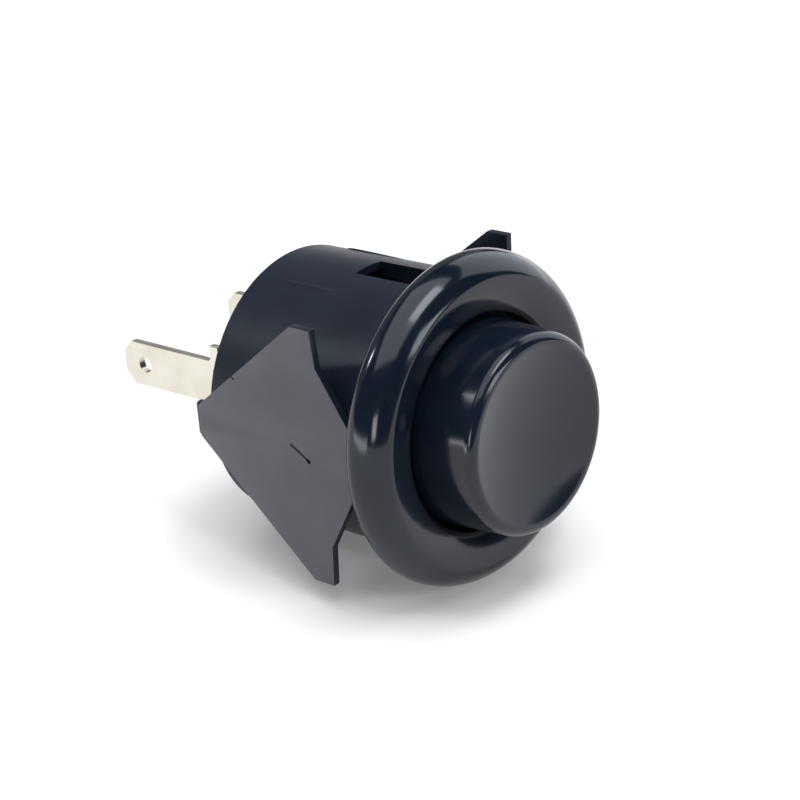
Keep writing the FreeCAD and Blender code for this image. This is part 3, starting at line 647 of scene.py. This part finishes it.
def terminal(name, side):
    """Blade outline in (depth, height) through the sheet, and the strip's bend in (x, depth) across it.

    The blade's hole and the rivet's eye in the foot are circles carried through the sheet and cut out.
    """
    corners = np.array([
        (BASE_END, -SEAT_HALF), (SHOULDER, -SEAT_HALF), (SHOULDER, -BLADE_HALF), (CUT_START, -BLADE_HALF),
        (TIP, CUT - BLADE_HALF), (TIP, BLADE_HALF - CUT), (CUT_START, BLADE_HALF), (SHOULDER, BLADE_HALF),
        (SHOULDER, SEAT_HALF), (BASE_END, SEAT_HALF),
    ]) + (0, BLADE_MIDDLE)
    outline = rounded(corners, [0.12, 0.12, 0.25, 0.3, 0.3, 0.3, 0.3, 0.25, 0.12, 0.12])
    low, high = sorted((side * SHEET_IN, side * SHEET_OUT))
    blade = slab(outline, low, high, "yzx", 0.1)
    bend = rounded([
        (FOOT_END, FOOT_FRONT), (SHEET_OUT, FOOT_FRONT), (SHEET_OUT, BEYOND), (SHEET_IN, BEYOND),
        (SHEET_IN, FOOT_REAR), (FOOT_END, FOOT_REAR),
    ], [0.05, 1.2, 0.02, 0.02, 0.4, 0.05], steps=12) * (side, 1)
    strip = slab(bend[::side], -STRIP_HALF, STRIP_HALF, "xyz", 0.06)
    ring = arc((HOLE_AT, BLADE_MIDDLE), HOLE, 0, 360, 49)[:-1]
    hole = slab(ring, low - 1, high + 1, "yzx", CRISP)
    round_eye = arc((side * RIVET_AT, 0.0), RIVET, 0, 360, 33)[:-1]
    eye = slab(round_eye, EYE_START, EYE_END, "xzy", CRISP)
    return moulded(name, blade, [strip], [hole, eye])


for name, side in (("near_terminal", -1), ("far_terminal", 1)):
    dressed(terminal(name + "_sheet", side), "housing_body", name, [tinned_brass])

# %% [markdown]
# A coil spring is a round wire carried along a helix. Its end turns lie close together, so the pitch is
# small near both ends and even between. A spring shortens when the button is pressed, and each one is given
# a mesh of its own.

# %% Springs
CLOSED_TURNS, STEPS_PER_TURN, STEPS_ROUND_WIRE = 0.85, 40, 16


def coil(front, rear, radius, wire, turns):
    """Wire point = path + wire / 2 * (normal cos b + axis sin b), on the helix path (r cos a, y, r sin a)."""
    turn = np.linspace(0, turns, int(turns * STEPS_PER_TURN) + 1)[:, None]
    low, high = front + wire / 2, rear - wire / 2
    y = np.interp(
        turn, [0, CLOSED_TURNS, turns - CLOSED_TURNS, turns],
        [low, low + CLOSED_TURNS * wire, high - CLOSED_TURNS * wire, high],
    )
    a = math.tau * turn
    b = np.linspace(0, math.tau, STEPS_ROUND_WIRE, endpoint=False)[None]
    out, along = wire / 2 * np.cos(b), wire / 2 * np.sin(b)
    points = np.stack([(radius + out) * np.cos(a), y + along, (radius + out) * np.sin(a)], axis=-1)
    return capped(points)


return_coil = skin("return_coil", coil(front=11.1, rear=SPRING_SEAT, radius=3.0, wire=0.6, turns=8))
dressed(return_coil, "housing_body", "return_spring", [spring_steel])
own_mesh(return_coil)
contact_coil = skin("contact_coil", coil(front=STEM_END, rear=9.7, radius=2.4, wire=0.5, turns=4))
dressed(contact_coil, "plunger_body", "contact_spring", [spring_steel])
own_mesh(contact_coil)

# %% [markdown]
# The contact bridge, its rivets and the washer lie hidden inside. They keep their solids' own shapes, and
# only get their metals.

# %% Inner metals
inner_metals = {
    "contact_bridge": rolled_brass, "bridge_contacts": contact_silver,
    "fixed_contacts": contact_silver, "star_washer": spring_steel,
}
for name, metal in inner_metals.items():
    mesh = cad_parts[name].data
    mesh.materials.clear()
    mesh.materials.append(metal)
    print(name, "is", metal.name)

# %% [markdown]
# The picture was taken from the front left and a little above, with a long lens and the camera rolled by
# a few degrees. The camera is set by those angles, so its axes are worked out one by one. The focal length
# is written in pixels of the picture, and the sensor's width turns it into millimetres.

# %% Camera
AZIMUTH, ELEVATION, ROLL = np.radians([-46.91, 22.24, -5.33])
FOCUS, DISTANCE, OFFSET = 3629.11, 357.0, (-5.41, 1.44)
PICTURE, SENSOR = 800, 36.0
away = np.array([
    math.sin(AZIMUTH) * math.cos(ELEVATION), -math.cos(AZIMUTH) * math.cos(ELEVATION), math.sin(ELEVATION),
])
level = np.cross(-away, (0, 0, 1))
level /= np.linalg.norm(level)
upright = np.cross(level, -away)
right = math.cos(ROLL) * level + math.sin(ROLL) * upright
up = math.cos(ROLL) * upright - math.sin(ROLL) * level
eye = away * DISTANCE + OFFSET[0] * right + OFFSET[1] * up
camera = bpy.data.objects.new("camera", bpy.data.cameras.new("camera"))
bpy.context.collection.objects.link(camera)
camera.matrix_world = Matrix(np.vstack([
    np.column_stack([right, up, away, eye * MM]), [0, 0, 0, 1],
]).tolist())
camera.data.sensor_width = SENSOR
camera.data.lens = FOCUS / PICTURE * SENSOR
camera.data.clip_start = 0.01
bpy.context.scene.camera = camera
print("camera at", np.round(eye, 1), "mm, lens", round(camera.data.lens, 1), "mm")

# %% [markdown]
# The floor is a plain white sweep that takes the shadow. The lamps reach only its middle, so it has some
# light of its own for the eye and for reflections, and more of it further off. That light is kept from
# matt surfaces by asking which kind of ray has met the floor.

# %% Floor: its paper
PAPER, OWN_COLOUR = "#f2ede8", "#ffffff"
# The floor's own light, as a share of white, and the distances in metres over which it rises.
GLOW_NEAR, GLOW_FAR, RISE_START, RISE_END = 0.14, 0.95, 0.25, 0.9
sweep = bpy.data.materials.new("white_sweep")
sweep.use_nodes = True
tree = sweep.node_tree
shader = tree.nodes["Principled BSDF"]
shader.inputs["Base Color"].default_value = linear(PAPER)
shader.inputs["Roughness"].default_value = 0.9
shader.inputs["Specular IOR Level"].default_value = 0.0
shader.inputs["Emission Color"].default_value = linear(OWN_COLOUR)
ray = node(tree, "ShaderNodeLightPath")
seen = node(
    tree, "ShaderNodeMath", {"operation": "ADD"},
    {0: ray.outputs["Is Camera Ray"], 1: ray.outputs["Is Glossy Ray"]},
)
seen = node(
    tree, "ShaderNodeMath", {"operation": "ADD", "use_clamp": True},
    {0: seen.outputs[0], 1: ray.outputs["Is Transmission Ray"]},
)
place = node(tree, "ShaderNodeTexCoord").outputs["Object"]
far = node(tree, "ShaderNodeVectorMath", {"operation": "LENGTH"}, {0: place})
rise = node(
    tree, "ShaderNodeMapRange",
    {"From Min": RISE_START, "From Max": RISE_END, "To Min": GLOW_NEAR, "To Max": GLOW_FAR},
    {"Value": far.outputs["Value"]},
)
glow = node(
    tree, "ShaderNodeMath", {"operation": "MULTIPLY"},
    {0: seen.outputs[0], 1: rise.outputs["Result"]},
)
tree.links.new(glow.outputs[0], shader.inputs["Emission Strength"])
print("floor glows from", GLOW_NEAR, "to", GLOW_FAR, "of white")

# %% [markdown]
# The button rests on its rim and on the rear edge of its barrel, so in the button's own frame the floor
# rises a little towards the rear. It reaches far, because the dish mirrors it up to its edge: the dim room
# above that edge is the dark corner at the dish's lower right.

# %% Floor: its place
FLOOR_REACH = 30.0
slope = (RIM - barrel_at(REAR)) / (REAR + EDGE)
low, high = [-RIM * MM + slope * (y + EDGE * MM) for y in (-FLOOR_REACH, FLOOR_REACH)]
floor_mesh = bpy.data.meshes.new("floor")
floor_mesh.from_pydata(
    [
        (-FLOOR_REACH, -FLOOR_REACH, low), (FLOOR_REACH, -FLOOR_REACH, low),
        (FLOOR_REACH, FLOOR_REACH, high), (-FLOOR_REACH, FLOOR_REACH, high),
    ],
    [], [(0, 1, 2, 3)],
)
floor_mesh.materials.append(sweep)
floor = bpy.data.objects.new("floor", floor_mesh)
bpy.context.collection.objects.link(floor)
print("floor rises by", round(math.degrees(math.atan(slope)), 1), "degrees to the rear")

# %% [markdown]
# The dark plastic is told almost wholly by what it mirrors. A wide softbox overhead and a brighter one in
# front of it draw the streaks on the rim and on the plunger's edge, a leaning strip in front draws the
# second pair, and a large one at the right lifts the rim's far side. A dim one behind shows in the blades.
# Three small ones at the left make the short glints on the rim's side and on the plunger's flank. All are
# faintly cool, as daylight lamps are. The room itself is dim, because the rim shows dark between its
# highlights.

# %% Light
DAYLIGHT, ROOM, ROOM_STRENGTH = "#f2f7ff", "#e8ecf2", 0.04


def softbox(name, azimuth, elevation, distance, size, shine, roll=0.0):
    """Area lamp in a direction, facing the button: degrees, metres, and its brightness in white papers.

    Brightness B over an area A takes B pi A watts. Azimuth 0 is in front of the plunger, -90 at the left.
    """
    a, e, r = np.radians([azimuth, elevation, roll])
    z = np.array([math.sin(a) * math.cos(e), -math.cos(a) * math.cos(e), math.sin(e)])
    flat = np.array([math.cos(a), math.sin(a), 0.0])
    steep = np.cross(z, flat)
    x = math.cos(r) * flat + math.sin(r) * steep
    lamp = bpy.data.lights.new(name, "AREA")
    lamp.shape = "RECTANGLE"
    lamp.size, lamp.size_y = size
    lamp.energy = shine * math.pi * size[0] * size[1]
    lamp.color = linear(DAYLIGHT)[:3]
    holder = bpy.data.objects.new(name, lamp)
    holder.matrix_world = Matrix(np.vstack([
        np.column_stack([x, np.cross(z, x), z, z * distance]), [0, 0, 0, 1],
    ]).tolist())
    bpy.context.collection.objects.link(holder)


softbox("ceiling", -70, 80, 1.0, (1.1, 1.3), 2.1)
softbox("key", 15, 69, 1.0, (0.5, 0.34), 6.9)
softbox("front", 15, 15, 0.8, (0.55, 0.2), 6.3, roll=-45)
softbox("right", 88, 25, 0.9, (0.9, 0.9), 1.75)
softbox("back", 170, 28, 1.2, (2.6, 1.0), 0.31)
softbox("left", -60, 7, 0.6, (0.12, 0.14), 7.5)
softbox("left_low", -100, -0.5, 0.2, (0.16, 0.026), 4.1)
softbox("left_rear", -141, 38, 0.6, (0.055, 0.075), 37.0)
world = bpy.data.worlds.new("dim_room")
world.use_nodes = True
world.node_tree.nodes["Background"].inputs["Color"].default_value = linear(ROOM)
world.node_tree.nodes["Background"].inputs["Strength"].default_value = ROOM_STRENGTH
bpy.context.scene.world = world
bpy.context.scene.view_settings.view_transform = "Standard"
print("lamps:", ", ".join(lamp.name for lamp in bpy.data.lights))
